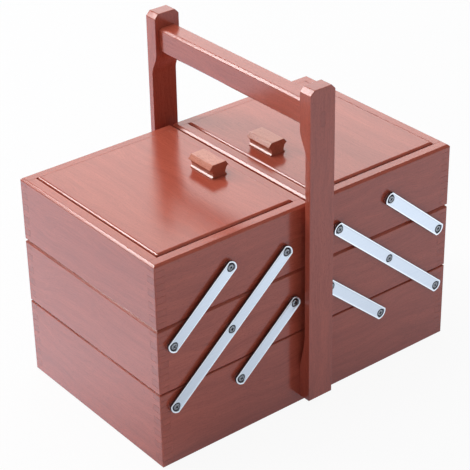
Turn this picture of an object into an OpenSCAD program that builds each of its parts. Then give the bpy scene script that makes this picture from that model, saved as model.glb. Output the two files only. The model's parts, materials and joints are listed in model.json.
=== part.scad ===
// Wooden sewing box with cantilever trays, two lids and a carrying handle.
// X runs from the left trays to the right trays, Y from front to back, Z up.
// The origin is the middle of the bottom tray's lower edge.

/* [Trays] */
// Width of the closed box over both sets of trays
box_w = 320; // [270:1:400]
// Depth of the trays, front to back
box_d = 192; // [150:1:240]
// Height of the bottom tray
base_h = 72; // [60:1:90]
// Height of each middle tray
mid_h = 61; // [52:1:70]
// Height of each top tray, without its lid
top_h = 59.4; // [50:0.2:72]
// Gap between one tray and the tray above it
tier_gap = 0.8; // [0.4:0.1:2]
// Gap between the left and the right trays
centre_gap = 2; // [1:0.2:4]
// Thickness of the tray boards
wall = 10; // [8:0.5:12]
// Bevel on the outer edges of the middle and top trays' rims
rim_bevel = 2; // [0.5:0.1:3]
// Bevel on the other outer edges of the trays
edge_bevel = 0.8; // [0.3:0.1:1.5]

/* [Joints and bottoms] */
// Height of one finger of the corner joints
finger_h = 6; // [4:0.5:10]
// Clearance between the glued fingers
finger_gap = 0.05; // [0.02:0.01:0.2]
// Thickness of the bottom panels
panel_t = 4; // [3:0.5:5]
// Height of a bottom panel above the lower edge of its tray
panel_lift = 4; // [2:0.5:6]
// Depth of the groove that holds a bottom panel
groove_d = 5; // [3:0.5:6]
// Clearance of a bottom panel in its groove
groove_gap = 0.1; // [0.05:0.05:0.3]

/* [Lids] */
// Thickness of a lid
lid_t = 9; // [7:0.5:11]
// Height of a lid's top face above the rim
lid_proud = 1.6; // [0.5:0.1:3]
// Gap between a lid and the boards at its front, back and outer edge
lid_gap = 1; // [0.8:0.1:2]
// Gap between a lid's inner edge and the board beside it
lid_inner_gap = 0.4; // [0.3:0.1:1.5]
// Bevel on the upper edges of a lid
lid_bevel = 1.5; // [1:0.1:2]
// Distance from a lid's outer edge to its pivot pins
lid_pin_inset = 6; // [5:0.5:9]
// Diameter of the lid pivot pins
lid_pin_d = 4; // [3:0.5:5]
// Length of a pivot pin inside the lid
lid_pin_in_lid = 12; // [8:1:20]
// Length of a pivot pin inside the tray board
lid_pin_in_wall = 6.5; // [4:0.5:7]
// Width of the ledge that carries the lid's inner edge
ledge_w = 3; // [2.5:0.5:5]
// Height of that ledge
ledge_h = 8; // [5:1:12]
// Gap between the closed lid and its ledge
ledge_gap = 0.3; // [0.1:0.1:0.6]

/* [Knobs] */
// Distance from the middle of the box to the middle of a knob
knob_x = 32; // [26:1:60]
// Length of a knob, front to back
knob_l = 30; // [20:1:50]
// Height of a knob above the lid
knob_h = 12.8; // [9:0.2:16]
// Width of a knob's foot
knob_foot_w = 16; // [14:0.5:18]
// Height of a knob's foot
knob_foot_h = 2.2; // [1.5:0.1:3]
// Width of a knob's waist
knob_waist_w = 13; // [10:0.5:14]
// Greatest width of a knob
knob_grip_w = 20.4; // [18.4:0.2:26]
// Width of a knob's flat top
knob_top_w = 14; // [10:0.5:16]
// Height of the bevel on top of a knob
knob_bevel_h = 4.2; // [1.5:0.1:4.5]

/* [Handle] */
// Height of the posts above the rim of the top trays
handle_rise = 107.4; // [80:0.2:150]
// Height of the posts' lower ends above the ground
post_lift = 7.3; // [1:0.1:12]
// Width of a post
post_w = 26; // [20:1:30]
// Thickness of a post at its foot and its head
post_t = 13.2; // [12:0.2:20]
// Thickness of a post between foot and head
post_thin = 6.2; // [4:0.2:6.4]
// Height of a post's full foot
foot_h = 20; // [16:1:24]
// Height of the taper above the foot
foot_taper = 46; // [30:1:60]
// Height of a post's full head
head_h = 37; // [32:1:50]
// Height of the taper below the head
head_taper = 22; // [12:1:30]
// Bevel on the upper corners of a post, sideways
post_bevel_w = 4; // [2:0.1:6]
// Bevel on the upper corners of a post, downwards
post_bevel_h = 4.2; // [2:0.1:6]
// Thickness of the handle bar
bar_w = 18; // [14:0.5:20]
// Height of the handle bar
bar_h = 23; // [18:0.5:26]
// Distance from the posts' tops down to the bar
bar_drop = 13; // [9:0.5:16]
// Bevel on the long edges of the bar
bar_bevel = 2; // [0.5:0.1:4]
// Width of the bar's tenons, which end flush in the posts' outer faces
tenon_w = 5; // [4:0.5:8]
// Height of the bar's tenons
tenon_h = 14; // [10:0.5:16]

/* [Linkage] */
// Distance from the box side to the long arms' lowest pivots
long_inset = 13.9; // [13:0.1:22]
// Depth of those pivots below the bottom tray's rim
long_drop = 14.4; // [11:0.2:20]
// Distance from the middle of the box to the long arms' upper pivots
long_reach = 28.9; // [24:0.1:40]
// Height from one pivot of an arm to the next
arm_rise = 50.5; // [46:0.5:54]
// Distance from the middle of the box to the lower arms' upper pivots
lower_reach = 20.1; // [20:0.1:30]
// Height of the lower arms below the long arms' pivots
lower_drop = 2; // [0:0.1:6]
// Distance from the box side to the upper arms' lower pivots
upper_inset = 13.9; // [13:0.1:20]
// Height of those pivots above the middle tray's lower edge
upper_lift = 43.4; // [40:0.2:45]
// Width of the arms
arm_w = 12; // [10:0.5:14]
// Length of an arm beyond the middles of its end pivots
arm_end = 5.6; // [5.4:0.1:6.2]
// Radius of the arms' rounded ends
arm_end_r = 7.5; // [7.1:0.1:10]
// Thickness of the arms
arm_t = 1.8; // [1.5:0.1:2.2]
// Thickness of the spacers behind the arms
spacer_t = 1.7; // [1:0.1:3.6]
// Diameter of the spacers
spacer_d = 10; // [9:0.5:12]
// Play of the arms along their screws
arm_play = 0.1; // [0.05:0.05:0.3]

/* [Screws] */
// Shank diameter of the pivot screws
screw_d = 4; // [3.5:0.1:4.5]
// Head diameter of the pivot screws
head_d = 7.6; // [7:0.1:8]
// Depth of the pivot screws in the boards
screw_depth = 7.5; // [6:0.5:7.5]
// Running clearance round the pivot screws and the lid pins
run_gap = 0.1; // [0.05:0.01:0.1]
// Clearance round screws in wood
bite_gap = 0.05; // [0.02:0.01:0.1]
// Width of the cross recess in a screw head
cross_w = 1; // [0.8:0.1:1.2]
// Length of the cross recess in a screw head
cross_l = 4.4; // [3.6:0.1:5]
// Depth of the cross recess in a screw head
cross_depth = 1.2; // [0.8:0.1:1.3]
// Distance between the two screws in a post's foot
foot_screw_pitch = 13; // [11:0.5:14]
// Height of the screws above a post's lower end
foot_screw_lift = 10; // [10:0.5:12]
// Depth of those screws in the post
foot_screw_depth = 8; // [6:0.5:10]
// Depth of a knob's screw in the knob
knob_screw_depth = 7; // [5:0.5:7.5]

/* [Hidden] */

wood = "#8f5044";
panel_wood = "#b98a6a";
plated = "#c9ced6";
steel = "#8d9096";

// Cutting tools run this far past the faces that they cut
over = 1;
round_fn = 48;

front_y = -box_d / 2;
side_x = -box_w / 2;
inner_x = -centre_gap / 2;
mid_z = base_h + tier_gap;
top_z = mid_z + mid_h + tier_gap;
rim_z = top_z + top_h;

// Pivots of the left arms, as x and z
arm_dx = (-side_x - long_inset - long_reach) / 2;
arm_pitch = norm([arm_dx, arm_rise]);
arm_angle = atan2(arm_rise, arm_dx);
arm_step = [arm_dx, arm_rise];
long_base = [side_x + long_inset, base_h - long_drop];
long_mid = long_base + arm_step;
long_top = long_mid + arm_step;
lower_base = [-lower_reach - arm_dx, long_base[1] - lower_drop];
lower_mid = lower_base + arm_step;
upper_mid = [side_x + upper_inset, mid_z + upper_lift];
upper_top = upper_mid + arm_step;
base_pivots = [long_base, lower_base];
mid_pivots = [long_mid, lower_mid, upper_mid];
top_pivots = [long_top, upper_top];

arm_back = spacer_t + arm_play;
arm_face = arm_back + arm_t;
// A head is a little thinner than the arm, so that its cone stays inside the countersink
head_cone = 0.75 * arm_t;
head_sink = 0.1;
countersink_d = head_d + 4 * run_gap;

lid_top = rim_z + lid_proud;
lid_low = lid_top - lid_t;
lid_x0 = side_x + wall + lid_gap;
lid_x1 = inner_x - wall - lid_inner_gap;
lid_y = -front_y - wall - lid_gap;
lid_pin = [lid_x0 + lid_pin_inset, lid_low + lid_t / 2];

post_top = rim_z + handle_rise;
bar_top = post_top - bar_drop;
tenon_z = bar_top - bar_h / 2 - bar_h / 8;
foot_screw_z = post_lift + foot_screw_lift;
post_steps = 14;

// Prism along X from a drawing in Y and Z
module along_x(x0, x1) {
  translate([x0, 0, 0]) rotate([90, 0, 90]) linear_extrude(x1 - x0) children();
}

// Prism along Y from a drawing in X and Z
module along_y(y0, y1) {
  translate([0, y1, 0]) rotate([90, 0, 0]) linear_extrude(y1 - y0) children();
}

// Rectangle with bevelled lower and upper corners
module bevelled_outline(u0, u1, v0, v1, low, high) {
  polygon([
    [u0 + low, v0], [u1 - low, v0], [u1, v0 + low], [u1, v1 - high],
    [u1 - high, v1], [u0 + high, v1], [u0, v1 - high], [u0, v0 + low]
  ]);
}

// Block from corner a to corner b with bevelled lower and upper edges, and with eased upright edges
module bevelled_block(a, b, low, high) {
  intersection() {
    along_x(a[0], b[0]) bevelled_outline(a[1], b[1], a[2], b[2], low, high);
    along_y(a[1], b[1]) bevelled_outline(a[0], b[0], a[2], b[2], low, high);
    translate([0, 0, a[2]]) linear_extrude(b[2] - a[2])
      bevelled_outline(a[0], b[0], a[1], b[1], edge_bevel, edge_bevel);
  }
}

// Box from corner a to corner b
module box_between(a, b) {
  translate(a) cube(b - a);
}

// Copy for the right side, or for the back
module to_right() {
  mirror([1, 0, 0]) children();
}

module to_back() {
  mirror([0, 1, 0]) children();
}

module both_ends() {
  children();
  to_back() children();
}

// Corner joints

function finger_count(h) = round(h / finger_h);

// Every second finger's place in the corner column from a to b, counted down from z_top
module finger_slots(a, b, z_top, h, first) {
  pitch = h / finger_count(h);
  for (i = [first : 2 : finger_count(h) - 1])
    box_between(
      [a[0], a[1], z_top - (i + 1) * pitch - finger_gap],
      [b[0], b[1], z_top - i * pitch + finger_gap]);
}

// Room for a tray's bottom panel, grown by a clearance
module panel_room(x0, x1, z0, grow) {
  box_between(
    [x0 + wall - groove_d - grow, front_y + wall - groove_d - grow, z0 + panel_lift - grow],
    [x1 - wall + groove_d + grow, -front_y - wall + groove_d + grow,
     z0 + panel_lift + panel_t + grow]);
}

// Hole for a pivot screw through the front face
module pivot_hole(p) {
  translate([p[0], front_y + screw_depth + bite_gap, p[1]]) rotate([90, 0, 0])
    cylinder(h = screw_depth + bite_gap + over, d = screw_d + 2 * bite_gap, $fn = round_fn);
}

// Board across the front of a tray that runs from x0 to x1 and stands at z0
module tray_front(x0, x1, z0, h, rim, pivots) {
  intersection() {
    difference() {
      box_between([x0, front_y, z0], [x1, front_y + wall, z0 + h]);
      finger_slots([x0 - over, front_y - over], [x0 + wall + finger_gap, front_y + wall + over],
        z0 + h, h, 1);
      finger_slots([x1 - wall - finger_gap, front_y - over], [x1 + over, front_y + wall + over],
        z0 + h, h, 1);
      panel_room(x0, x1, z0, groove_gap);
      for (p = pivots) pivot_hole(p);
    }
    bevelled_block([x0, front_y, z0], [x1, -front_y, z0 + h], edge_bevel, rim);
  }
}

// Board at one end of a tray, its outer face at x_face, on the tray from x0 to x1
module tray_end(x_face, x0, x1, z0, h, rim) {
  left = x_face == x0;
  a = left ? x0 : x1 - wall;
  intersection() {
    difference() {
      box_between([a, front_y, z0], [a + wall, -front_y, z0 + h]);
      both_ends()
        finger_slots([a - over, front_y - over], [a + wall + over, front_y + wall + finger_gap],
          z0 + h, h, 0);
      panel_room(x0, x1, z0, groove_gap);
    }
    bevelled_block([x0, front_y, z0], [x1, -front_y, z0 + h], edge_bevel, rim);
  }
}

// Bottom tray

module base_front() {
  difference() {
    tray_front(side_x, -side_x, 0, base_h, edge_bevel,
      [for (s = [1, -1], p = base_pivots) [s * p[0], p[1]]]);
    foot_screw_holes();
  }
}

module foot_screw_places() {
  for (s = [-0.5, 0.5])
    translate([s * foot_screw_pitch, front_y + wall, foot_screw_z]) rotate([-90, 0, 0]) children();
}

module foot_screw_holes() {
  foot_screw_places() screw_room(wall + foot_screw_depth);
}

// Countersunk wood screw, its head's face at z = 0 and its tip below
module wood_screw(length) {
  difference() {
    union() {
      translate([0, 0, -head_cone])
        cylinder(h = head_cone, d1 = screw_d, d2 = head_d, $fn = round_fn);
      translate([0, 0, -length + screw_d / 2])
        cylinder(h = length - screw_d / 2 - head_cone / 2, d = screw_d, $fn = round_fn);
      translate([0, 0, -length])
        cylinder(h = screw_d / 2, d1 = screw_d / 4, d2 = screw_d, $fn = round_fn);
    }
    for (turn = [0, 90])
      rotate(turn) translate([-cross_l / 2, -cross_w / 2, -cross_depth])
        cube([cross_l, cross_w, cross_depth + over]);
  }
}

// Room for a screw that is sunk flush in wood
module screw_room(length) {
  translate([0, 0, -head_cone - head_sink])
    cylinder(h = head_cone, d1 = screw_d + 2 * bite_gap, d2 = head_d + 2 * bite_gap, $fn = round_fn);
  translate([0, 0, -head_sink - bite_gap])
    cylinder(h = head_sink + bite_gap + over, d = head_d + 2 * bite_gap, $fn = round_fn);
  translate([0, 0, -length - head_sink - bite_gap])
    cylinder(h = length, d = screw_d + 2 * bite_gap, $fn = round_fn);
}

module base_front_board() {
  color(wood) base_front();
}

module base_back_board() {
  color(wood) to_back() base_front();
}

module base_left_end() {
  color(wood) tray_end(side_x, side_x, -side_x, 0, base_h, edge_bevel);
}

module base_right_end() {
  color(wood) to_right() tray_end(side_x, side_x, -side_x, 0, base_h, edge_bevel);
}

module base_bottom_panel() {
  color(panel_wood) panel_room(side_x, -side_x, 0, 0);
}

// Middle trays

module mid_front() {
  tray_front(side_x, inner_x, mid_z, mid_h, rim_bevel, mid_pivots);
}

module mid_end(x_face) {
  tray_end(x_face, side_x, inner_x, mid_z, mid_h, rim_bevel);
}

module left_mid_front_board() {
  color(wood) mid_front();
}

module left_mid_back_board() {
  color(wood) to_back() mid_front();
}

module left_mid_outer_end() {
  color(wood) mid_end(side_x);
}

module left_mid_inner_end() {
  color(wood) mid_end(inner_x);
}

module left_mid_bottom_panel() {
  color(panel_wood) panel_room(side_x, inner_x, mid_z, 0);
}

module right_mid_front_board() {
  to_right() left_mid_front_board();
}

module right_mid_back_board() {
  to_right() left_mid_back_board();
}

module right_mid_outer_end() {
  to_right() left_mid_outer_end();
}

module right_mid_inner_end() {
  to_right() left_mid_inner_end();
}

module right_mid_bottom_panel() {
  to_right() left_mid_bottom_panel();
}

// Top trays, with the holes for the lid pins and the ledge under the lid

module top_front() {
  difference() {
    tray_front(side_x, inner_x, top_z, top_h, rim_bevel, top_pivots);
    translate([lid_pin[0], front_y + wall + over, lid_pin[1]]) rotate([90, 0, 0])
      cylinder(h = lid_pin_in_wall + bite_gap + over, d = lid_pin_d + 2 * bite_gap, $fn = round_fn);
  }
}

module top_end(x_face) {
  tray_end(x_face, side_x, inner_x, top_z, top_h, rim_bevel);
}

module left_top_front_board() {
  color(wood) top_front();
}

module left_top_back_board() {
  color(wood) to_back() top_front();
}

module left_top_outer_end() {
  color(wood) top_end(side_x);
}

module left_top_inner_end() {
  ledge_top = lid_low - ledge_gap;
  color(wood) union() {
    top_end(inner_x);
    box_between(
      [inner_x - wall - ledge_w, front_y + wall + finger_gap, ledge_top - ledge_h],
      [inner_x - wall, -front_y - wall - finger_gap, ledge_top]);
  }
}

module left_top_bottom_panel() {
  color(panel_wood) panel_room(side_x, inner_x, top_z, 0);
}

module right_top_front_board() {
  to_right() left_top_front_board();
}

module right_top_back_board() {
  to_right() left_top_back_board();
}

module right_top_outer_end() {
  to_right() left_top_outer_end();
}

module right_top_inner_end() {
  to_right() left_top_inner_end();
}

module right_top_bottom_panel() {
  to_right() left_top_bottom_panel();
}

// Lids

module left_lid() {
  color(wood) difference() {
    bevelled_block([lid_x0, -lid_y, lid_low], [lid_x1, lid_y, lid_top], edge_bevel, lid_bevel);
    both_ends()
      translate([lid_pin[0], -lid_y + lid_pin_in_lid + bite_gap, lid_pin[1]]) rotate([90, 0, 0])
        cylinder(h = lid_pin_in_lid + bite_gap + over, d = lid_pin_d + 2 * run_gap, $fn = round_fn);
    knob_screw_place() screw_room(lid_t + knob_screw_depth);
  }
}

module right_lid() {
  to_right() left_lid();
}

module left_lid_pins() {
  color(steel) both_ends()
    translate([lid_pin[0], -lid_y + lid_pin_in_lid, lid_pin[1]]) rotate([90, 0, 0])
      cylinder(h = lid_pin_in_lid + lid_gap + lid_pin_in_wall, d = lid_pin_d, $fn = round_fn);
}

module right_lid_pins() {
  to_right() left_lid_pins();
}

// Knobs, each held by a screw from under its lid

module knob_screw_place() {
  translate([-knob_x, 0, lid_low]) rotate([180, 0, 0]) children();
}

// Right half of the knob's end, from the sloping foot up, with a hollow below the grip
function knob_side() =
  let (hollow = knob_h - knob_bevel_h - knob_foot_h, swell = (knob_grip_w - knob_waist_w) / 2)
  concat(
    [[knob_foot_w / 2, 0], [knob_foot_w / 2, knob_foot_h / 3]],
    [for (t = [0 : 15 : 90])
      [knob_waist_w / 2 + swell * (1 - cos(t)), knob_foot_h + hollow * sin(t)]],
    [[knob_top_w / 2, knob_h]]);

function mirrored(points) =
  concat(points, [for (i = [len(points) - 1 : -1 : 0]) [-points[i][0], points[i][1]]]);

module left_lid_knob() {
  color(wood) difference() {
    along_y(-knob_l / 2, knob_l / 2) translate([-knob_x, lid_top]) polygon(mirrored(knob_side()));
    knob_screw_place() screw_room(lid_t + knob_screw_depth);
  }
}

module right_lid_knob() {
  to_right() left_lid_knob();
}

module left_knob_screw() {
  color(steel) knob_screw_place() translate([0, 0, -head_sink])
    wood_screw(lid_t + knob_screw_depth - head_sink);
}

module right_knob_screw() {
  to_right() left_knob_screw();
}

// Posts and handle bar

// How far a taper has gone, from 0 to 1, at a share t of its height
function eased(t) = (1 - cos(180 * t)) / 2;

// Inner face of a post as points in y and z, from the foot up
function taper_face(z_full, rise) =
  [for (i = [0 : post_steps])
    [(post_thin - post_t) * eased(i / post_steps), z_full + rise * i / post_steps]];

function post_inner_face() =
  let (head = taper_face(post_top - head_h, -head_taper))
  concat(
    taper_face(post_lift + foot_h, foot_taper),
    [for (i = [post_steps : -1 : 0]) head[i]]);

module tenon(grow, length) {
  along_y(front_y - length, front_y + over) translate([0, tenon_z]) {
    square([tenon_w + 2 * grow, tenon_h - tenon_w], center = true);
    for (s = [-0.5, 0.5])
      translate([0, s * (tenon_h - tenon_w)]) circle(d = tenon_w + 2 * grow, $fn = round_fn);
  }
}

module post() {
  difference() {
    intersection() {
      along_x(-post_w / 2, post_w / 2) translate([front_y, 0]) polygon(concat(
        [[-post_t, post_lift], [0, post_lift]],
        post_inner_face(),
        [[0, post_top], [-post_t, post_top]]));
      along_y(front_y - post_t - over, front_y + over)
        polygon([
          [-post_w / 2, post_lift], [post_w / 2, post_lift], [post_w / 2, post_top - post_bevel_h],
          [post_w / 2 - post_bevel_w, post_top], [post_bevel_w - post_w / 2, post_top],
          [-post_w / 2, post_top - post_bevel_h]
        ]);
    }
    tenon(bite_gap, post_t + over);
    foot_screw_holes();
  }
}

module front_post() {
  color(wood) post();
}

module back_post() {
  color(wood) to_back() post();
}

module handle_bar() {
  color(wood) union() {
    along_y(front_y, -front_y)
      bevelled_outline(-bar_w / 2, bar_w / 2, bar_top - bar_h, bar_top, bar_bevel, bar_bevel);
    both_ends() tenon(0, post_t);
  }
}

module post_screws() {
  color(steel) both_ends() foot_screw_places()
    translate([0, 0, -head_sink]) wood_screw(wall + foot_screw_depth - head_sink);
}

// Linkage arms, drawn flat along X from the first pivot, then stood up in front of the trays

module arm_outline(reach) {
  end_x = arm_end_r - arm_end;
  intersection() {
    translate([-arm_end, -arm_w / 2]) square([reach + 2 * arm_end, arm_w]);
    union() {
      translate([end_x, -arm_end_r]) square([reach - 2 * end_x, 2 * arm_end_r]);
      for (x = [end_x, reach - end_x]) translate([x, 0]) circle(r = arm_end_r, $fn = round_fn);
    }
  }
}

module flat_arm(pivot_count) {
  difference() {
    linear_extrude(arm_t) arm_outline((pivot_count - 1) * arm_pitch);
    for (i = [0 : pivot_count - 1]) translate([i * arm_pitch, 0, 0]) {
      translate([0, 0, -over]) cylinder(h = arm_t + 2 * over, d = screw_d + 2 * run_gap, $fn = round_fn);
      translate([0, 0, arm_t - head_cone - head_sink])
        cylinder(h = head_cone, d1 = screw_d + 4 * run_gap, d2 = countersink_d, $fn = round_fn);
      translate([0, 0, arm_t - head_sink - bite_gap]) cylinder(h = over, d = countersink_d, $fn = round_fn);
    }
  }
}

module stood_arm(p, pivot_count) {
  color(plated) translate([p[0], front_y - arm_back, p[1]]) rotate([0, -arm_angle, 0]) rotate([90, 0, 0])
    flat_arm(pivot_count);
}

module left_front_long_arm() {
  stood_arm(long_base, 3);
}

module left_back_long_arm() {
  to_back() left_front_long_arm();
}

module right_front_long_arm() {
  to_right() left_front_long_arm();
}

module right_back_long_arm() {
  to_right() left_back_long_arm();
}

module left_front_lower_arm() {
  stood_arm(lower_base, 2);
}

module left_back_lower_arm() {
  to_back() left_front_lower_arm();
}

module right_front_lower_arm() {
  to_right() left_front_lower_arm();
}

module right_back_lower_arm() {
  to_right() left_back_lower_arm();
}

module left_front_upper_arm() {
  stood_arm(upper_mid, 2);
}

module left_back_upper_arm() {
  to_back() left_front_upper_arm();
}

module right_front_upper_arm() {
  to_right() left_front_upper_arm();
}

module right_back_upper_arm() {
  to_right() left_back_upper_arm();
}

// Pivot screws and the spacers behind the arms

module at_pivots(pivots, y) {
  for (p = pivots) translate([p[0], y, p[1]]) rotate([90, 0, 0]) children();
}

module pivot_screws(pivots) {
  color(steel) both_ends() at_pivots(pivots, front_y - arm_face + head_sink)
    wood_screw(arm_face - head_sink + screw_depth);
}

module spacers(pivots) {
  color(steel) both_ends() at_pivots(pivots, front_y) difference() {
    cylinder(h = spacer_t, d = spacer_d, $fn = round_fn);
    translate([0, 0, -over]) cylinder(h = spacer_t + 2 * over, d = screw_d + 2 * bite_gap, $fn = round_fn);
  }
}

module base_pivot_screws() {
  pivot_screws(base_pivots);
  to_right() pivot_screws(base_pivots);
}

module left_mid_pivot_screws() {
  pivot_screws(mid_pivots);
}

module right_mid_pivot_screws() {
  to_right() pivot_screws(mid_pivots);
}

module left_top_pivot_screws() {
  pivot_screws(top_pivots);
}

module right_top_pivot_screws() {
  to_right() pivot_screws(top_pivots);
}

module base_spacers() {
  spacers(base_pivots);
  to_right() spacers(base_pivots);
}

module left_mid_spacers() {
  spacers(mid_pivots);
}

module right_mid_spacers() {
  to_right() spacers(mid_pivots);
}

module left_top_spacers() {
  spacers(top_pivots);
}

module right_top_spacers() {
  to_right() spacers(top_pivots);
}

base_front_board();
base_back_board();
base_left_end();
base_right_end();
base_bottom_panel();
left_mid_front_board();
left_mid_back_board();
left_mid_outer_end();
left_mid_inner_end();
left_mid_bottom_panel();
right_mid_front_board();
right_mid_back_board();
right_mid_outer_end();
right_mid_inner_end();
right_mid_bottom_panel();
left_top_front_board();
left_top_back_board();
left_top_outer_end();
left_top_inner_end();
left_top_bottom_panel();
right_top_front_board();
right_top_back_board();
right_top_outer_end();
right_top_inner_end();
right_top_bottom_panel();
left_lid();
right_lid();
left_lid_knob();
right_lid_knob();
left_knob_screw();
right_knob_screw();
left_lid_pins();
right_lid_pins();
front_post();
back_post();
handle_bar();
post_screws();
left_front_long_arm();
left_back_long_arm();
right_front_long_arm();
right_back_long_arm();
left_front_lower_arm();
left_back_lower_arm();
right_front_lower_arm();
right_back_lower_arm();
left_front_upper_arm();
left_back_upper_arm();
right_front_upper_arm();
right_back_upper_arm();
base_pivot_screws();
left_mid_pivot_screws();
right_mid_pivot_screws();
left_top_pivot_screws();
right_top_pivot_screws();
base_spacers();
left_mid_spacers();
right_mid_spacers();
left_top_spacers();
right_top_spacers();
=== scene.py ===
import json
import math
import random

import bmesh
import bpy
from mathutils import Matrix, Vector


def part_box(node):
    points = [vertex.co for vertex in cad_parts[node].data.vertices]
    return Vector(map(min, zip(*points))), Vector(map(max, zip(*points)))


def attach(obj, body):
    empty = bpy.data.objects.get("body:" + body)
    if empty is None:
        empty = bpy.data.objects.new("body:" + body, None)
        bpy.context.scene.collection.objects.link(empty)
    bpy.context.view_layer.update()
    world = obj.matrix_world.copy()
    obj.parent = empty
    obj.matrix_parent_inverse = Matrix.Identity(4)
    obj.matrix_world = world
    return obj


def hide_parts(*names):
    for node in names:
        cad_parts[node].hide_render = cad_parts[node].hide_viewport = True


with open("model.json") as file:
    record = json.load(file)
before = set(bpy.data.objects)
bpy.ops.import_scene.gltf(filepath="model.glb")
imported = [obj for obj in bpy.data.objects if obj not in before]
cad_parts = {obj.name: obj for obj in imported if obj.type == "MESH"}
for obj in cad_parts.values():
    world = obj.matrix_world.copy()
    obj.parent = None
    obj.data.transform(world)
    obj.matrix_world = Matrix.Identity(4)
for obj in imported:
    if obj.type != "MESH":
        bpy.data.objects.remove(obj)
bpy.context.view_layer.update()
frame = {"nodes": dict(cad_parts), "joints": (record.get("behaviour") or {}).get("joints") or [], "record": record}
print("frame loaded:", len(frame["nodes"]), "nodes")

mm = 0.001
sides = ("left", "right")
faceSigns = {"front": -1, "back": 1}    # the way that each face looks along Y
cadNodes = frame["nodes"]
joints = {joint["name"]: joint for joint in frame["joints"]}
bodyOf = {node: body for body, nodes in frame["record"]["behaviour"]["bodies"].items() for node in nodes}


# The least and greatest distance of a node's points from the middle plane, along Y
def reachFromMiddle(node):
    distances = [abs(vertex.co.y) for vertex in cadNodes[node].data.vertices]
    return min(distances), max(distances)


def addObject(name, data):
    made = bpy.data.objects.new(name, data)
    bpy.context.scene.collection.objects.link(made)
    return made


def meshFrom(bm, name):
    mesh = bpy.data.meshes.new(name)
    bm.to_mesh(mesh)
    bm.free()
    return mesh


# Node helpers

def addNode(tree, kind, **settings):
    node = tree.nodes.new(kind)
    for name, value in settings.items():
        setattr(node, name, value)
    return node


# Puts a link, a plain value or nothing on a socket
def feed(tree, value, socket):
    if value is None:
        return
    if isinstance(value, bpy.types.NodeSocket):
        tree.links.new(value, socket)
    else:
        socket.default_value = value


def doMath(tree, operation, first, second=None, third=None, clamp=False):
    node = addNode(tree, "ShaderNodeMath", operation=operation, use_clamp=clamp)
    for socket, value in zip(node.inputs, (first, second, third)):
        feed(tree, value, socket)
    return node.outputs[0]


def vectorMath(tree, operation, first, second):
    node = addNode(tree, "ShaderNodeVectorMath", operation=operation)
    feed(tree, first, node.inputs[0])
    feed(tree, second, node.inputs["Scale" if operation == "SCALE" else 1])
    return node.outputs["Value" if operation == "DOT_PRODUCT" else "Vector"]


def noise(tree, vector, detail, roughness=0.5, scale=1.0):
    node = addNode(tree, "ShaderNodeTexNoise", noise_dimensions="3D")
    feed(tree, vector, node.inputs["Vector"])
    node.inputs["Scale"].default_value = scale
    node.inputs["Detail"].default_value = detail
    node.inputs["Roughness"].default_value = roughness
    return node.outputs["Fac"]


def spread(tree, value, low, high, outLow=0.0, outHigh=1.0, smooth=False):
    node = addNode(tree, "ShaderNodeMapRange", interpolation_type="SMOOTHSTEP" if smooth else "LINEAR")
    labels = ("Value", "From Min", "From Max", "To Min", "To Max")
    for label, given in zip(labels, (value, low, high, outLow, outHigh)):
        feed(tree, given, node.inputs[label])
    return node.outputs["Result"]


def blendColour(tree, share, first, second):
    node = addNode(tree, "ShaderNodeMix", data_type="RGBA")
    for index, value in ((0, share), (6, first), (7, second)):    # the colour sockets are 6 and 7
        feed(tree, value, node.inputs[index])
    return node.outputs[2]


def newGroup(name, inputs, outputs):
    tree = bpy.data.node_groups.new(name, "ShaderNodeTree")
    for label, kind, value in inputs:
        socket = tree.interface.new_socket(label, in_out="INPUT", socket_type=kind)
        if value is not None:
            socket.default_value = value
    for label in outputs:
        tree.interface.new_socket(label, in_out="OUTPUT", socket_type="NodeSocketFloat")
    return tree, tree.nodes.new("NodeGroupInput").outputs, tree.nodes.new("NodeGroupOutput").inputs


def placeGroup(tree, group, **values):
    node = tree.nodes.new("ShaderNodeGroup")
    node.node_tree = group
    for label, value in values.items():
        feed(tree, value, node.inputs[label])
    return node.outputs


# Shared effects

grainLooks = {
    # each pattern's stretch along, across and through the plank per mm, its detail and its roughness
    "sway": ((0.012, 0.02, 0.02), 1.0, 0.5),
    "bands": ((0.05 / 9, 1 / 9, 1 / 9), 3.0, 0.55),    # growth bands about 9 mm wide
    "streaks": ((0.035, 1.1, 1.1), 2.0, 0.5),
    "flecks": ((1 / 2.2, 2.6, 2.6), 1.0, 0.4),         # short dark flecks, 2.2 mm long
    "ripple": ((0.12, 0.3, 0.3), 1.0, 0.5),
}
grainMix = {
    "swayBy": (0.0, 26.0, 14.0),    # how far the sway shifts bands and streaks, in mm
    "bandRange": (0.3, 0.7), "streakRange": (0.32, 0.68), "fleckRange": (0.56, 0.7),
    "streakRelief": 0.35, "fleckRelief": 0.5,
}


def grainPattern(tree, plank, name):
    stretch, detail, roughness = grainLooks[name]
    return noise(tree, vectorMath(tree, "MULTIPLY", plank, stretch), detail, roughness)


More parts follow.
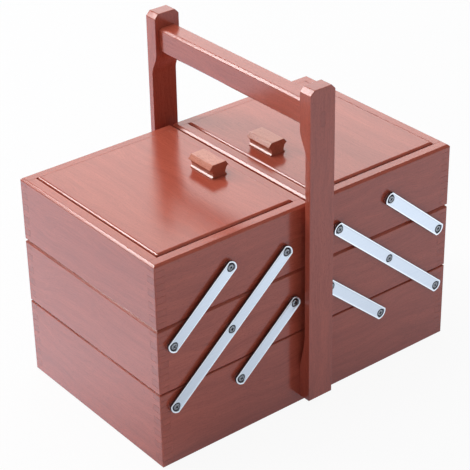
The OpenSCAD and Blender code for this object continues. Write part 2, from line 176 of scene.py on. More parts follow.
# Growth bands, fine streaks, flecks and the relief of a board, in its own plank coordinates
def makePlankGrain():
    mix = grainMix
    tree, given, out = newGroup("plankGrain", [("Plank", "NodeSocketVector", None)],
                                ("Bands", "Streaks", "Flecks", "Relief"))
    inMm = vectorMath(tree, "SCALE", given["Plank"], 1 / mm)
    shift = vectorMath(tree, "MULTIPLY", grainPattern(tree, inMm, "sway"), mix["swayBy"])
    swayed = vectorMath(tree, "ADD", inMm, shift)
    bands = spread(tree, grainPattern(tree, swayed, "bands"), *mix["bandRange"])
    streaks = spread(tree, grainPattern(tree, swayed, "streaks"), *mix["streakRange"])
    flecks = spread(tree, grainPattern(tree, inMm, "flecks"), *mix["fleckRange"], smooth=True)
    raised = doMath(tree, "MULTIPLY_ADD", streaks, mix["streakRelief"], grainPattern(tree, inMm, "ripple"))
    relief = doMath(tree, "SUBTRACT", raised, doMath(tree, "MULTIPLY", flecks, mix["fleckRelief"]))
    for label, value in (("Bands", bands), ("Streaks", streaks), ("Flecks", flecks), ("Relief", relief)):
        tree.links.new(value, out[label])
    return tree


wornAndLitLooks = {
    "radius": 0.8,                  # how far the painted edge highlight and a little wear reach from an edge, in mm
    "turnRange": (0.02, 0.25),      # how much the surface turns where the painted highlight and wear start and where they are full
    "samples": 4, "patchDetail": 3.0, "patchScale": 140.0, "patchRange": (0.35, 0.65),
}


# Painted edge highlight with a little wear: the mask rises on edges and corners, broken up so that it is uneven
def makeWornAndLitEdges():
    tree, given, out = newGroup("wornAndLitEdges", [("Radius", "NodeSocketFloat", wornAndLitLooks["radius"] * mm)],
                                ("Mask",))
    rounded = addNode(tree, "ShaderNodeBevel", samples=wornAndLitLooks["samples"])
    tree.links.new(given["Radius"], rounded.inputs["Radius"])
    surface = addNode(tree, "ShaderNodeNewGeometry")
    same = vectorMath(tree, "DOT_PRODUCT", rounded.outputs[0], surface.outputs["Normal"])
    wornAndLitEdge = spread(tree, doMath(tree, "SUBTRACT", 1.0, same), *wornAndLitLooks["turnRange"])
    place = addNode(tree, "ShaderNodeTexCoord")
    patchy = noise(tree, place.outputs["Object"], wornAndLitLooks["patchDetail"], scale=wornAndLitLooks["patchScale"])
    patchy = spread(tree, patchy, *wornAndLitLooks["patchRange"])
    tree.links.new(doMath(tree, "MULTIPLY", wornAndLitEdge, patchy, clamp=True), out["Mask"])
    return tree


handlingLooks = {
    "blotchSize": 30.0,    # in mm
    "blotchDetail": 4.0, "blotchRoughness": 0.6, "speckScale": 900.0, "speckRange": (0.7, 0.78),
}


# Handling marks: soft blotches and fine specks that make a gloss uneven
def makeHandling():
    looks = handlingLooks
    tree, given, out = newGroup("handling",
                                [("Base", "NodeSocketFloat", 0.3), ("Amount", "NodeSocketFloat", 0.1)],
                                ("Roughness", "Specks"))
    place = addNode(tree, "ShaderNodeTexCoord")
    blotches = noise(tree, place.outputs["Object"], looks["blotchDetail"], looks["blotchRoughness"],
                     1 / (looks["blotchSize"] * mm))
    change = doMath(tree, "MULTIPLY", doMath(tree, "SUBTRACT", blotches, 0.5), given["Amount"])
    tree.links.new(doMath(tree, "ADD", given["Base"], change, clamp=True), out["Roughness"])
    specks = noise(tree, place.outputs["Object"], 0.0, scale=looks["speckScale"])
    tree.links.new(spread(tree, specks, *looks["speckRange"]), out["Specks"])
    return tree


plankGrain = makePlankGrain()
wornAndLitEdges = makeWornAndLitEdges()
handling = makeHandling()
print("shared effects built")


# Materials

def newMaterial(name):
    material = bpy.data.materials.new(name)
    material.use_nodes = True
    tree = material.node_tree
    return material, tree, tree.nodes["Principled BSDF"]


def addBump(tree, shader, height, strength, depth):
    bump = addNode(tree, "ShaderNodeBump")
    bump.inputs["Strength"].default_value = strength
    bump.inputs["Distance"].default_value = depth * mm
    tree.links.new(height, bump.inputs["Height"])
    tree.links.new(bump.outputs[0], shader.inputs["Normal"])


stainLooks = {
    "deep": (0.40, 0.078, 0.048, 1.0),     # stain in the dense grain
    "open": (0.56, 0.120, 0.072, 1.0),     # stain over open grain
    "fleck": (0.28, 0.050, 0.032, 1.0),
    "endCut": (0.30, 0.055, 0.036, 1.0),   # end grain drinks more stain
    # the lighter edge tone and its share: a painted edge highlight with a little wear
    "wornAndLit": (0.66, 0.24, 0.17, 1.0),
    "bandShare": 0.55, "streakShare": 0.45, "fleckShare": 0.5, "endCutShare": 0.35, "wornAndLitShare": 0.12,
    "roughness": 0.45, "unevenness": 0.12, "gloss": 0.0, "coatRoughness": 0.19, "coatIor": 1.52,
    "relief": 0.22, "reliefDepth": 0.12,   # depth in mm
}
# the knobs take more of the painted edge highlight with a little wear
knobLooks = dict(stainLooks, deep=(0.52, 0.15, 0.085, 1.0), open=(0.68, 0.23, 0.14, 1.0), wornAndLitShare=0.4)
# the bottom panel has its own stain and its own edge tone, a painted edge highlight with a little wear
panelLooks = dict(
    stainLooks,
    deep=(0.42, 0.24, 0.13, 1.0), open=(0.60, 0.38, 0.22, 1.0), fleck=(0.30, 0.16, 0.08, 1.0),
    endCut=(0.34, 0.19, 0.10, 1.0), wornAndLit=(0.66, 0.45, 0.28, 1.0), endCutShare=0.6, wornAndLitShare=0.3,
    roughness=0.6, unevenness=0.15, gloss=0.3, coatRoughness=0.4, coatIor=1.4)


def makeWood(name, looks):
    material, tree, shader = newMaterial(name)
    plank = addNode(tree, "ShaderNodeAttribute", attribute_name="plank")
    endCut = addNode(tree, "ShaderNodeAttribute", attribute_name="endCut")
    grain = placeGroup(tree, plankGrain, Plank=plank.outputs["Vector"])
    tone = doMath(tree, "ADD", doMath(tree, "MULTIPLY", grain["Bands"], looks["bandShare"]),
                  doMath(tree, "MULTIPLY", grain["Streaks"], looks["streakShare"]))
    colour = blendColour(tree, tone, looks["deep"], looks["open"])
    # Edges and corners turn lighter: a painted edge highlight with a little wear
    wornAndLit = placeGroup(tree, wornAndLitEdges)["Mask"]
    layers = (("fleck", grain["Flecks"]), ("endCut", endCut.outputs["Fac"]), ("wornAndLit", wornAndLit))
    for layer, mask in layers:
        share = doMath(tree, "MULTIPLY", mask, looks[layer + "Share"])
        colour = blendColour(tree, share, colour, looks[layer])
    tree.links.new(colour, shader.inputs["Base Color"])
    marks = placeGroup(tree, handling, Base=looks["roughness"], Amount=looks["unevenness"])
    tree.links.new(marks["Roughness"], shader.inputs["Roughness"])
    shader.inputs["Specular IOR Level"].default_value = looks["gloss"]
    shader.inputs["Coat Weight"].default_value = 1.0
    shader.inputs["Coat Roughness"].default_value = looks["coatRoughness"]
    shader.inputs["Coat IOR"].default_value = looks["coatIor"]
    addBump(tree, shader, grain["Relief"], looks["relief"], looks["reliefDepth"])
    return material


metalLooks = {
    # paintedSideShade: how far sides and countersink cones go towards near black, a painted shade and dark
    # reflection
    "plated": {"light": (0.73, 0.77, 0.80, 1.0), "dull": (0.62, 0.68, 0.73, 1.0), "roughness": 0.3,
               "unevenness": 0.14, "drawn": 0.5, "paintedSideShade": 0.85},
    "screw": {"light": (0.22, 0.22, 0.23, 1.0), "dull": (0.06, 0.06, 0.07, 1.0), "roughness": 0.2,
              "unevenness": 0.1, "drawn": 0.0, "paintedSideShade": 0.0},
    "pivotScrew": {"light": (0.27, 0.275, 0.28, 1.0), "dull": (0.08, 0.08, 0.085, 1.0), "roughness": 0.22,
                   "unevenness": 0.1, "drawn": 0.0, "paintedSideShade": 0.9},
    "spacer": {"light": (0.58, 0.60, 0.63, 1.0), "dull": (0.40, 0.41, 0.44, 1.0), "roughness": 0.34,
               "unevenness": 0.1, "drawn": 0.0, "paintedSideShade": 0.0},
}
metalFinish = {
    "drawnStretch": (30.0, 4200.0, 4200.0), "drawnDetail": 2.0, "drawnRange": (0.35, 0.65), "speckShare": 0.4,
    # near-white on edges and corners: a painted edge highlight with a little wear
    "wornAndLitEdge": (0.9, 0.9, 0.92, 1.0), "wornAndLitEdgeShare": 0.5, "wornAndLitEdgeRadius": 0.3,
    # near-white on the pressed rim's top faces: a painted highlight
    "rim": (0.96, 0.97, 0.96, 1.0),
    "cut": (0.05, 0.05, 0.055, 1.0), "paintedShadeFacing": (0.93, 0.83),    # painted shade and painted dark reflection on sides and cones, chosen by their normal along Y
    "relief": 0.12, "reliefDepth": 0.03,                           # depth in mm
}


def makeMetal(name, looks):
    finish = metalFinish
    material, tree, shader = newMaterial(name)
    plank = addNode(tree, "ShaderNodeAttribute", attribute_name="plank")
    lines = vectorMath(tree, "MULTIPLY", plank.outputs["Vector"], finish["drawnStretch"])
    drawn = noise(tree, lines, finish["drawnDetail"])
    marks = placeGroup(tree, handling, Base=looks["roughness"], Amount=looks["unevenness"])
    share = doMath(tree, "MULTIPLY", spread(tree, drawn, *finish["drawnRange"]), looks["drawn"])
    specks = doMath(tree, "MULTIPLY", marks["Specks"], finish["speckShare"])
    share = doMath(tree, "ADD", share, specks, clamp=True)
    colour = blendColour(tree, share, looks["light"], looks["dull"])
    # Edges and corners turn near-white: a painted edge highlight with a little wear
    wornAndLit = placeGroup(tree, wornAndLitEdges, Radius=finish["wornAndLitEdgeRadius"] * mm)["Mask"]
    colour = blendColour(tree, doMath(tree, "MULTIPLY", wornAndLit, finish["wornAndLitEdgeShare"]), colour, finish["wornAndLitEdge"])
    # The pressed rim's top faces turn near-white: a painted highlight
    rim = addNode(tree, "ShaderNodeAttribute", attribute_name="rim")
    colour = blendColour(tree, rim.outputs["Fac"], colour, finish["rim"])
    # Painted shade and painted dark reflection: faces whose normal lies across Y, the sides and countersink cones,
    # go towards near black
    surface = addNode(tree, "ShaderNodeNewGeometry")
    facing = addNode(tree, "ShaderNodeSeparateXYZ")
    tree.links.new(surface.outputs["Normal"], facing.inputs[0])
    facing = doMath(tree, "ABSOLUTE", facing.outputs["Y"])
    cut = spread(tree, facing, *finish["paintedShadeFacing"], 0.0, looks["paintedSideShade"], smooth=True)
    colour = blendColour(tree, cut, colour, finish["cut"])
    tree.links.new(colour, shader.inputs["Base Color"])
    shader.inputs["Metallic"].default_value = 1.0
    tree.links.new(marks["Roughness"], shader.inputs["Roughness"])
    addBump(tree, shader, drawn, finish["relief"], finish["reliefDepth"])
    return material


stainedWood = makeWood("stainedWood", stainLooks)
knobWood = makeWood("knobWood", knobLooks)
panelWood = makeWood("bottomPanelWood", panelLooks)
platedSteel = makeMetal("platedSteel", metalLooks["plated"])
screwSteel = makeMetal("screwSteel", metalLooks["screw"])
pivotScrewSteel = makeMetal("pivotScrewSteel", metalLooks["pivotScrew"])
spacerSteel = makeMetal("spacerSteel", metalLooks["spacer"])
print("materials built")


# Piece helpers

plankMarks = {
    "startRange": (900, 160, 60),    # where in its plank a piece may start: along, across and through, in mm
    "endPower": 4,                   # keeps the end grain's mask to faces that are cut square
    "evenEnds": 0.2,                 # the end boards' fingers took the stain evenly
}


# Writes where each point sits in the plank that the piece was sawn from, and which faces are end grain
def markPlank(mesh, along, seed):
    sizes = [max(v.co[i] for v in mesh.vertices) - min(v.co[i] for v in mesh.vertices) for i in range(3)]
    across, through = sorted((i for i in range(3) if i != along), key=lambda i: -sizes[i])
    rng = random.Random(seed)
    start = Vector([rng.uniform(0, most) for most in plankMarks["startRange"]]) * mm
    plank = mesh.attributes.new("plank", "FLOAT_VECTOR", "POINT")
    plank.data.foreach_set("vector", [
        value for v in mesh.vertices
        for value in (v.co[along] + start.x, v.co[across] + start.y, v.co[through] + start.z)])
    share = plankMarks["evenEnds"] if seed.endswith("_end") else 1.0
    endCut = mesh.attributes.new("endCut", "FLOAT", "FACE")
    endCut.data.foreach_set("value", [
        share * abs(face.normal[along]) ** plankMarks["endPower"] for face in mesh.polygons])


# The geometry of an object with its modifiers applied; the object and its helpers are removed
def applied(made, *helpers):
    bpy.context.view_layer.update()
    ready = bpy.data.meshes.new_from_object(made.evaluated_get(bpy.context.evaluated_depsgraph_get()))
    for used in (made, *helpers):
        bpy.data.objects.remove(used)
    bm = bmesh.new()
    bm.from_mesh(ready)
    bpy.data.meshes.remove(ready)
    return bm


def finishPiece(name, bm, material, nodes, along, seed):
    bmesh.ops.recalc_face_normals(bm, faces=bm.faces)
    mesh = meshFrom(bm, name)
    markPlank(mesh, along, seed)
    mesh.materials.append(material)
    mesh.shade_smooth()
    piece = addObject(name, mesh)
    weighted = piece.modifiers.new("flat faces stay flat", "WEIGHTED_NORMAL")
    weighted.weight = 100    # large faces alone decide the shading
    weighted.keep_sharp = True
    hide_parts(*nodes)
    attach(piece, bodyOf[nodes[0]])
    return piece


# Wooden pieces, each rounded over on its sawn edges

woodEdges = {
    # rounding of an edge in mm, and the share of a bevel's width that is rounded over on both of its edges
    "board": (0.22, 0.12), "lid": (0.5, 0.3), "knob": (0.3, 0.0), "post": (0.6, 0.0), "bar": (0.4, 0.0),
}
edgeRules = {
    "sharpAngle": 20, "bevelAngle": 45, "bevelSpread": 8, "flatAngle": 0.5,    # in degrees
    "finger": 0.1, "fingerLength": 12, "tenonHalf": 4, "greatest": 1.2, "weld": 0.002,    # in mm
    "narrowShare": 0.4, "steps": 3,
}
woodKinds = [
    # ending of the node's name, axis of the grain, kind of edges, wood and slot
    ("bottom_panel", 0, "board", panelWood, "bottom_panel"),
    ("front_board", 0, "board", stainedWood, "stained_wood"),
    ("back_board", 0, "board", stainedWood, "stained_wood"),
    ("_end", 1, "board", stainedWood, "stained_wood"),
    ("_lid", 1, "lid", stainedWood, "stained_wood"),
    ("_knob", 1, "knob", knobWood, "stained_wood"),
    ("_post", 2, "post", stainedWood, "stained_wood"),
    ("handle_bar", 1, "bar", stainedWood, "stained_wood"),
]


# How far one edge is rounded over: less at the finger joints and tenons, and never past a narrow face
def edgeRounding(line, edge, bevelShare):
    rules = edgeRules
    narrow = min(face.calc_area() / max(side.calc_length() for side in face.edges)
                 for face in line.link_faces)
    offBevel = abs(math.degrees(line.calc_face_angle()) - rules["bevelAngle"])
    if bevelShare and offBevel < rules["bevelSpread"]:
        return bevelShare * narrow
    atFinger = bevelShare and line.calc_length() < rules["fingerLength"] * mm
    if atFinger or all(abs(end.co.x) < rules["tenonHalf"] * mm for end in line.verts):
        edge = rules["finger"]
    return min(edge * mm, rules["narrowShare"] * narrow)


def easedWood(node, along, edges, material, slot):
    rules = edgeRules
    edge, bevelShare = woodEdges[edges]
    bm = bmesh.new()
    bm.from_mesh(cadNodes[node].data)
    bmesh.ops.remove_doubles(bm, verts=bm.verts, dist=rules["weld"] * mm)
    bmesh.ops.dissolve_limit(bm, angle_limit=math.radians(rules["flatAngle"]), verts=bm.verts,
                             edges=bm.edges)
    weights = bm.edges.layers.float.new("bevel_weight_edge")
    for line in bm.edges:
        if len(line.link_faces) == 2 and line.calc_face_angle() > math.radians(rules["sharpAngle"]):
            line[weights] = min(edgeRounding(line, edge, bevelShare) / rules["greatest"] / mm, 1.0)
    sawn = addObject("sawn", meshFrom(bm, node))
    rounding = sawn.modifiers.new("rounded edges", "BEVEL")
    rounding.limit_method = "WEIGHT"
    rounding.width = rules["greatest"] * mm
    rounding.segments = rules["steps"]
    rounding.use_clamp_overlap = not bevelShare
    finishPiece(node + "_wood", applied(sawn), material, [node], along, node)


for node in sorted(cadNodes):
    for ending, *rules in woodKinds:
        if node.endswith(ending):
            easedWood(node, *rules)
print("wooden pieces made")


# Linkage arms: flat bars with shallow round ends, a pressed rim and a countersunk hole at each pivot

armLooks = {
    "edgeSteps": 3, "roundSteps": 16, "holeSteps": 40,
    "edge": 0.45, "backEdge": 0.5,                                   # in mm, and its share at the back
    "rim": 1.15, "rimSlope": 0.3, "pressed": 0.3, "rimDepth": 0.1,   # in mm
    "hole": 4.3, "sink": 7.9, "sinkWall": 0.85, "sinkDepth": 1.35,   # diameters and depths in mm
    "slack": 0.01,                                                   # how far a corner may lie off its side
}


def jointPlace(name):
    place = joints[name]["pos_m"]
    return Vector((place[0], 0, place[2]))


def armPivots(side, kind):
    longBase, longMid = jointPlace(f"{side}_opening"), jointPlace(f"{side}_middle_tray_turn")
    if kind == "long":
        return [longBase, longMid, jointPlace(f"{side}_top_tray_turn")]
    start = jointPlace(f"{side}_{kind}_arms_turn")
    return [start, start + longMid - longBase]    # the short arms stay parallel to the long one


def ring(bm, centre, radius, height, steps):
    angles = [2 * math.pi * i / steps for i in range(steps)]
    return [bm.verts.new((centre + radius * math.cos(a), radius * math.sin(a), height)) for a in angles]


def joinRings(bm, first, second):
    count = len(first)
    for i in range(count):
        bm.faces.new((first[i], first[(i + 1) % count], second[(i + 1) % count], second[i]))


# Fills the flat face between an outline and the holes in it
def fillAround(bm, outline, holes):
    edges = []
    for loop in [outline] + holes:
        for i, vert in enumerate(loop):
            following = loop[(i + 1) % len(loop)]
            edges.append(bm.edges.get((vert, following)) or bm.edges.new((vert, following)))
    bmesh.ops.triangle_fill(bm, use_beauty=True, edges=edges, use_dissolve=False)


# An arm's outline, from the CAD node: half its width, its length beyond a pivot and the radius of its ends
def armShape(node, start, along):
    spots = [vertex.co - start for vertex in cadNodes[node].data.vertices]
    across = Vector((0, 1, 0)).cross(along)
    half = max(spot.dot(across) for spot in spots)
    tip = -min(spot.dot(along) for spot in spots)
    corner = -min(spot.dot(along) for spot in spots if spot.dot(across) > half - armLooks["slack"] * mm)
    return half, tip, ((tip - corner) ** 2 + half ** 2) / (2 * (tip - corner))


# One arm lying along X from its first pivot, its outer face up at z = thick
def flatArm(spots, half, tip, radius, thick):
    bm = bmesh.new()
    looks = armLooks
    steps, edge, length = looks["roundSteps"], looks["edge"] * mm, spots[-1]
    face = thick - looks["pressed"] * mm

    def outline(inset, height):
        swing = math.asin((half - inset) / (radius - inset))
        arc = [((radius - inset) * math.cos(a) + tip - radius, (radius - inset) * math.sin(a))
               for a in (swing * (2 * i / steps - 1) for i in range(steps + 1))]
        points = [(length + x, y) for x, y in arc] + [(-x, -y) for x, y in arc]
        return [bm.verts.new((x, y, height)) for x, y in points]

    turns = [math.pi / 2 * i / looks["edgeSteps"] for i in range(looks["edgeSteps"] + 1)]
    back = edge * looks["backEdge"]
    levels = [outline(back * (1 - math.sin(a)), back * (1 - math.cos(a))) for a in turns]
    levels += [outline(edge * (1 - math.cos(a)), thick - edge * (1 - math.sin(a))) for a in turns]
    levels += [outline(looks["rim"] * mm, thick), outline((looks["rim"] + looks["rimSlope"]) * mm, face)]
    for low, high in zip(levels, levels[1:]):
        joinRings(bm, low, high)
    # Marks the pressed rim's top faces, which the metal paints near-white as a highlight
    rim = bm.faces.layers.float.new("rim")
    for part in bm.faces:
        part[rim] = 1.0 if part.calc_center_median().z > thick - looks["rimDepth"] * mm else 0.0
    holeLevels = ((looks["sink"], face), (looks["sink"], face - looks["sinkWall"] * mm),
                  (looks["hole"], face - looks["sinkDepth"] * mm), (looks["hole"], 0))
    holes = []
    for spot in spots:
        rings = [ring(bm, spot, wide / 2 * mm, height, looks["holeSteps"]) for wide, height in holeLevels]
        for upper, lower in zip(rings, rings[1:]):
            joinRings(bm, upper, lower)
        holes.append((rings[0], rings[-1]))
    fillAround(bm, levels[-1], [top for top, bottom in holes])
    fillAround(bm, levels[0], [bottom for top, bottom in holes])
    return bm


def makeArm(side, face, kind):
    node = f"{side}_{face}_{kind}_arm"
    pivots = armPivots(side, kind)
    along = (pivots[-1] - pivots[0]).normalized()
    near, far = reachFromMiddle(node)
    bm = flatArm([(pivot - pivots[0]).length for pivot in pivots], *armShape(node, pivots[0], along),
                 far - near)
    outward = Vector((0, faceSigns[face], 0))
    stand = Matrix((along, outward.cross(along), outward)).transposed().to_4x4()
    stand.translation = pivots[0] + outward * near
    bm.transform(stand)
    finishPiece(f"{node}_plate", bm, platedSteel, [node], 0, node)


for side in sides:
    for face in faceSigns:
        for kind in ("long", "lower", "upper"):
            makeArm(side, face, kind)
print("arms made")


# Turned pieces: each profile goes round as radius and height, in mm

turnedLooks = {
    "steps": 40, "seed": 7,
    "screwHead": 3.7, "crown": 2.8, "crownRadius": 15, "crownSteps": 6,    # radii
    "headEdge": 0.97, "headCorner": 0.1, "headCone": 1.4, "shank": 1.9, "tip": 2.0,
    "crossLength": 4.4, "crossWidth": 1.0, "crossDepth": 1.3,
    "crossTaper": (0.45, 0.7),      # length and width at the bottom of the recess, as shares
    "footHead": 3.8,                # from a post screw's middle to the edge of the CAD head
    "knobScrewTurn": 0.4,           # in radians
    "spacer": 5.0, "spacerHole": 2.1, "rim": 0.35,
    "crease": 0.08, "creaseSteps": 2, "creaseAngle": 35,
}
screwTurns = random.Random(turnedLooks["seed"])    # no two screws were driven to the same angle


def turned(profile):
    bm = bmesh.new()
    steps = turnedLooks["steps"]
    rings = [ring(bm, 0, radius * mm, height * mm, steps) if radius else [bm.verts.new((0, 0, height * mm))]
             for radius, height in profile]
    for first, second in zip(rings, rings[1:]):
        if len(first) == 1 or len(second) == 1:
            point, circle = (first[0], second) if len(first) == 1 else (second[0], first)
            for i in range(steps):
                bm.faces.new((point, circle[i], circle[(i + 1) % steps]))
        else:
            joinRings(bm, first, second)
    if len(rings[0]) > 1 and len(rings[-1]) > 1:    # a tube closes on itself
        joinRings(bm, rings[-1], rings[0])
    bmesh.ops.recalc_face_normals(bm, faces=bm.faces)
    return meshFrom(bm, "turned")


# The tool that cuts the cross recess into a head whose face is at z = 0
def crossTool():
    looks = turnedLooks
    endShare, sideShare = looks["crossTaper"]
    bm = bmesh.new()
    for turn in (0, 90):
        made = bmesh.ops.create_cube(bm, size=1)["verts"]
        for vert in made:
            deep = vert.co.z < 0
            vert.co.x *= looks["crossLength"] * mm * (endShare if deep else 1)
            vert.co.y *= looks["crossWidth"] * mm * (sideShare if deep else 1)
            vert.co.z = -looks["crossDepth"] * mm if deep else mm
        bmesh.ops.rotate(bm, verts=made, matrix=Matrix.Rotation(math.radians(turn), 3, "Z"))
    return meshFrom(bm, "cross")


# A countersunk screw with a crowned head, its top at z = 0, and a cross recess
def screwMesh(length):
    looks = turnedLooks
    head, shank, edge, corner = (looks[key] for key in ("screwHead", "shank", "headEdge", "headCorner"))
    radii = [looks["crown"] * i / looks["crownSteps"] for i in range(looks["crownSteps"] + 1)]
    crown = [(r, math.sqrt(looks["crownRadius"] ** 2 - r ** 2) - looks["crownRadius"]) for r in radii]
    body = [(head, -edge), (head - corner, -edge - corner), (shank, -looks["headCone"]),
            (shank, -length + looks["tip"]), (0, -length)]
    blank, tool = addObject("blank", turned(crown + body)), addObject("tool", crossTool())
    cut = blank.modifiers.new("cross recess", "BOOLEAN")
    cut.operation = "DIFFERENCE"
    cut.object = tool
    cut.solver = "EXACT"
    cut.use_self = True
    return meshFrom(applied(blank, tool), "screw")


# Copies one mesh to several places as one piece. A place is a point, a direction for the mesh's Z and a turn
def scatter(name, mesh, places, material, nodes):
    looks = turnedLooks
    bm = bmesh.new()
    for point, direction, turn in places:
        stand = Vector(direction).to_track_quat("Z", "Y").to_matrix().to_4x4()
        stand.translation = point
        copy = mesh.copy()
        copy.transform(stand @ Matrix.Rotation(turn, 4, "Z"))
        bm.from_mesh(copy)
        bpy.data.meshes.remove(copy)
    piece = finishPiece(name, bm, material, nodes, 1, name)
    creases = piece.modifiers.new("round the turned edges", "BEVEL")
    creases.width = looks["crease"] * mm
    creases.segments = looks["creaseSteps"]
    creases.limit_method = "ANGLE"
    creases.angle_limit = math.radians(looks["creaseAngle"])
    piece.modifiers.move(len(piece.modifiers) - 1, 0)


# The pivots that a tray of this tier carries, on the sides that it serves
def pivotPlaces(tier, itsSides):
    spots = []
    for side in itsSides:
        long, lower, upper = (armPivots(side, kind) for kind in ("long", "lower", "upper"))
        spots += {"base": [long[0], lower[0]], "mid": [long[1], lower[1], upper[0]],
                  "top": [long[2], upper[1]]}[tier]
    return spots


def makePivots(prefix, tier, itsSides):
    screws, spacers = f"{prefix}_pivot_screws", f"{prefix}_spacers"
    spots = [(spot, sign) for spot in pivotPlaces(tier, itsSides) for sign in faceSigns.values()]
    inner, outer = reachFromMiddle(screws)
    scatter(f"{screws}_turned", screwMesh((outer - inner) / mm),
            [(spot + Vector((0, sign * outer, 0)), (0, sign, 0), screwTurns.uniform(0, math.pi / 2))
             for spot, sign in spots], pivotScrewSteel, [screws])
    wide, hole, rim = (turnedLooks[key] for key in ("spacer", "spacerHole", "rim"))
    inner, outer = reachFromMiddle(spacers)
    tall = (outer - inner) / mm
    tube = turned([(wide - rim, 0), (wide, rim), (wide, tall - rim), (wide - rim, tall),
                   (hole, tall), (hole, 0)])
    scatter(f"{spacers}_turned", tube,
            [(spot + Vector((0, sign * inner, 0)), (0, sign, 0), 0) for spot, sign in spots],
            spacerSteel, [spacers])


def makePostScrews():
    inner, outer = reachFromMiddle("post_screws")
    low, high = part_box("post_screws")
    across = (high.x - low.x) / 2 - turnedLooks["footHead"] * mm
    scatter("post_screws_turned", screwMesh((outer - inner) / mm),
            [((across * x, inner * y, (low.z + high.z) / 2), (0, -y, 0), screwTurns.uniform(0, math.pi / 2))
             for x in (-1, 1) for y in (-1, 1)], screwSteel, ["post_screws"])


def makeLidFittings(side):
    low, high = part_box(f"{side}_knob_screw")
    scatter(f"{side}_knob_screw_turned", screwMesh((high.z - low.z) / mm),
            [(((low.x + high.x) / 2, 0, low.z), (0, 0, -1), turnedLooks["knobScrewTurn"])],
            screwSteel, [f"{side}_knob_screw"])
    inner, outer = reachFromMiddle(f"{side}_lid_pins")
    low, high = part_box(f"{side}_lid_pins")
    thick, tall, rim = (high.x - low.x) / 2 / mm, (outer - inner) / mm, turnedLooks["rim"]
    pin = turned([(0, 0), (thick - rim, 0), (thick, rim),
                  (thick, tall - rim), (thick - rim, tall), (0, tall)])
    hinge = joints[f"{side}_lid_hinge"]["pos_m"]
    scatter(f"{side}_lid_pins_turned", pin,
            [((hinge[0], sign * inner, hinge[2]), (0, sign, 0), 0) for sign in faceSigns.values()],
            spacerSteel, [f"{side}_lid_pins"])


makePivots("base", "base", sides)
for side in sides:
    makePivots(f"{side}_mid", "mid", [side])
    makePivots(f"{side}_top", "top", [side])
makePostScrews()
for side in sides:
    makeLidFittings(side)
print("screws, spacers and pins made")


# Floor, light and camera

studio = {
    "floorSize": 8.0, "floorColour": (0.84, 0.85, 0.88, 1.0), "floorRoughness": 0.9, "floorGlow": 0.93,
    "glossTint": (0.89, 0.97, 1.11, 1.0), "glossShare": 0.8,
    # how bright the table shows in gloss, in front from one side to the other, and behind
    "glossNear": (0.72, 1.38), "glossFar": 2.2,
    # the direction of each change over the table, and where it starts and ends
    "glossAside": ((0.7, -0.7, 0.0), 0.0, 0.45), "glossDepth": ((-0.6, 0.8, 0.0), -0.05, 0.2),
    "brightSide": (-0.42, 0.72, 0.55), "brightRange": (-0.7, 0.8), "dimLight": 0.27, "fullLight": 0.30,
}
lamps = [
    # name, place seen from the object, size, watts
    ("keyLight", (-0.45, 0.6, 2.1), (1.3, 1.3), 20.0),
    ("bevelLight", (-0.95, 1.30, 1.25), (0.46, 0.46), 12.0),
    ("glintLight", (0.95, -1.6, 0.35), (0.2, 0.2), 0.8),
    ("backLight", (1.2, 1.55, 1.15), (1.3, 1.0), 9.0),
]


# A pale floor that looks white to the camera, shows a tinted gradient in gloss and keeps the shadow
def makeFloor():
    bm = bmesh.new()
    bmesh.ops.create_grid(bm, x_segments=1, y_segments=1, size=studio["floorSize"] / 2)
    floor = addObject("floor", meshFrom(bm, "floor"))
    material, tree, shader = newMaterial("paleFloor")
    shader.inputs["Base Color"].default_value = studio["floorColour"]
    shader.inputs["Roughness"].default_value = studio["floorRoughness"]
    shader.inputs["Specular IOR Level"].default_value = 0.0
    place = addNode(tree, "ShaderNodeNewGeometry")
    asideWay, *asideRange = studio["glossAside"]
    depthWay, *depthRange = studio["glossDepth"]
    aside = vectorMath(tree, "DOT_PRODUCT", place.outputs["Position"], asideWay)
    depth = vectorMath(tree, "DOT_PRODUCT", place.outputs["Position"], depthWay)
    near = spread(tree, aside, *asideRange, *studio["glossNear"])
    inGloss = addNode(tree, "ShaderNodeEmission")
    inGloss.inputs["Color"].default_value = studio["glossTint"]
    tree.links.new(spread(tree, depth, *depthRange, near, studio["glossFar"], smooth=True),
                   inGloss.inputs["Strength"])
    inView = addNode(tree, "ShaderNodeEmission")
    seen = addNode(tree, "ShaderNodeLightPath")
    mirrored = doMath(tree, "MAXIMUM", seen.outputs["Is Glossy Ray"], seen.outputs["Is Transmission Ray"])
    surface = shader.outputs[0]
    for share, glow in (
            (doMath(tree, "MULTIPLY", mirrored, studio["glossShare"]), inGloss),
            (doMath(tree, "MULTIPLY", seen.outputs["Is Camera Ray"], studio["floorGlow"]), inView)):
        mix = addNode(tree, "ShaderNodeMixShader")
        for socket, value in zip(mix.inputs, (share, surface, glow.outputs[0])):
            tree.links.new(value, socket)
        surface = mix.outputs[0]
    tree.links.new(surface, tree.nodes["Material Output"].inputs["Surface"])
    floor.data.materials.append(material)


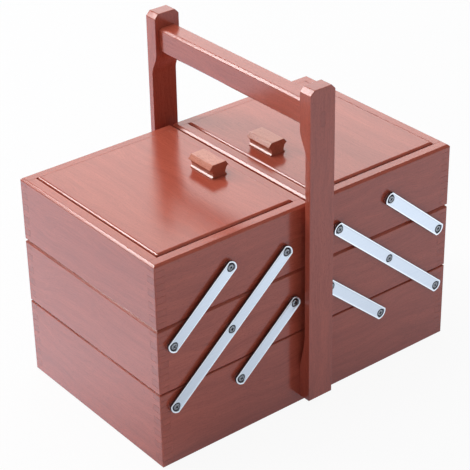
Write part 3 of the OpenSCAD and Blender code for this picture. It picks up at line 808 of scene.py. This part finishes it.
def makeWorld():
    world = bpy.data.worlds.new("studio")
    bpy.context.scene.world = world
    world.use_nodes = True
    tree = world.node_tree
    background = tree.nodes["Background"]
    background.inputs["Color"].default_value = (1.0, 1.0, 1.0, 1.0)
    place = addNode(tree, "ShaderNodeTexCoord")
    brightSide = Vector(studio["brightSide"]).normalized()
    facing = vectorMath(tree, "DOT_PRODUCT", place.outputs["Generated"], brightSide)
    light = spread(tree, facing, *studio["brightRange"], studio["dimLight"], studio["fullLight"], smooth=True)
    seen = addNode(tree, "ShaderNodeLightPath")
    strength = doMath(tree, "MAXIMUM", light, seen.outputs["Is Camera Ray"])
    tree.links.new(strength, background.inputs["Strength"])


def makeLamp(name, place, size, watts):
    data = bpy.data.lights.new(name, "AREA")
    data.shape = "RECTANGLE"
    data.size, data.size_y = size
    data.energy = watts
    lamp = addObject(name, data)
    lamp.location = Vector(place)
    lamp.rotation_euler = (-Vector(place)).to_track_quat("-Z", "Y").to_euler()


cameraView = {
    "azimuth": -38.100, "elevation": 29.916, "roll": -1.107,    # in degrees
    "target": (-0.00496, 0.0, 0.12241), "distance": 1.4796,     # in metres
    "lens": 129.18, "sensor": 36.0,                             # in mm
}


def makeCamera():
    azimuth, elevation, roll = (math.radians(cameraView[key]) for key in ("azimuth", "elevation", "roll"))
    back = Vector((math.sin(azimuth) * math.cos(elevation), -math.cos(azimuth) * math.cos(elevation),
                   math.sin(elevation)))
    level = Vector((0, 0, 1)).cross(back).normalized()
    upward = back.cross(level)
    right = level * math.cos(roll) + upward * math.sin(roll)
    top = upward * math.cos(roll) - level * math.sin(roll)
    data = bpy.data.cameras.new("camera")
    data.lens, data.sensor_width = cameraView["lens"], cameraView["sensor"]
    camera = addObject("camera", data)
    stand = Matrix((right, top, back)).transposed().to_4x4()
    stand.translation = Vector(cameraView["target"]) + back * cameraView["distance"]
    camera.matrix_world = stand
    bpy.context.scene.camera = camera


makeFloor()
makeWorld()
for lamp in lamps:
    makeLamp(*lamp)
makeCamera()
bpy.context.scene.view_settings.view_transform = "Standard"
print("floor, light and camera placed")
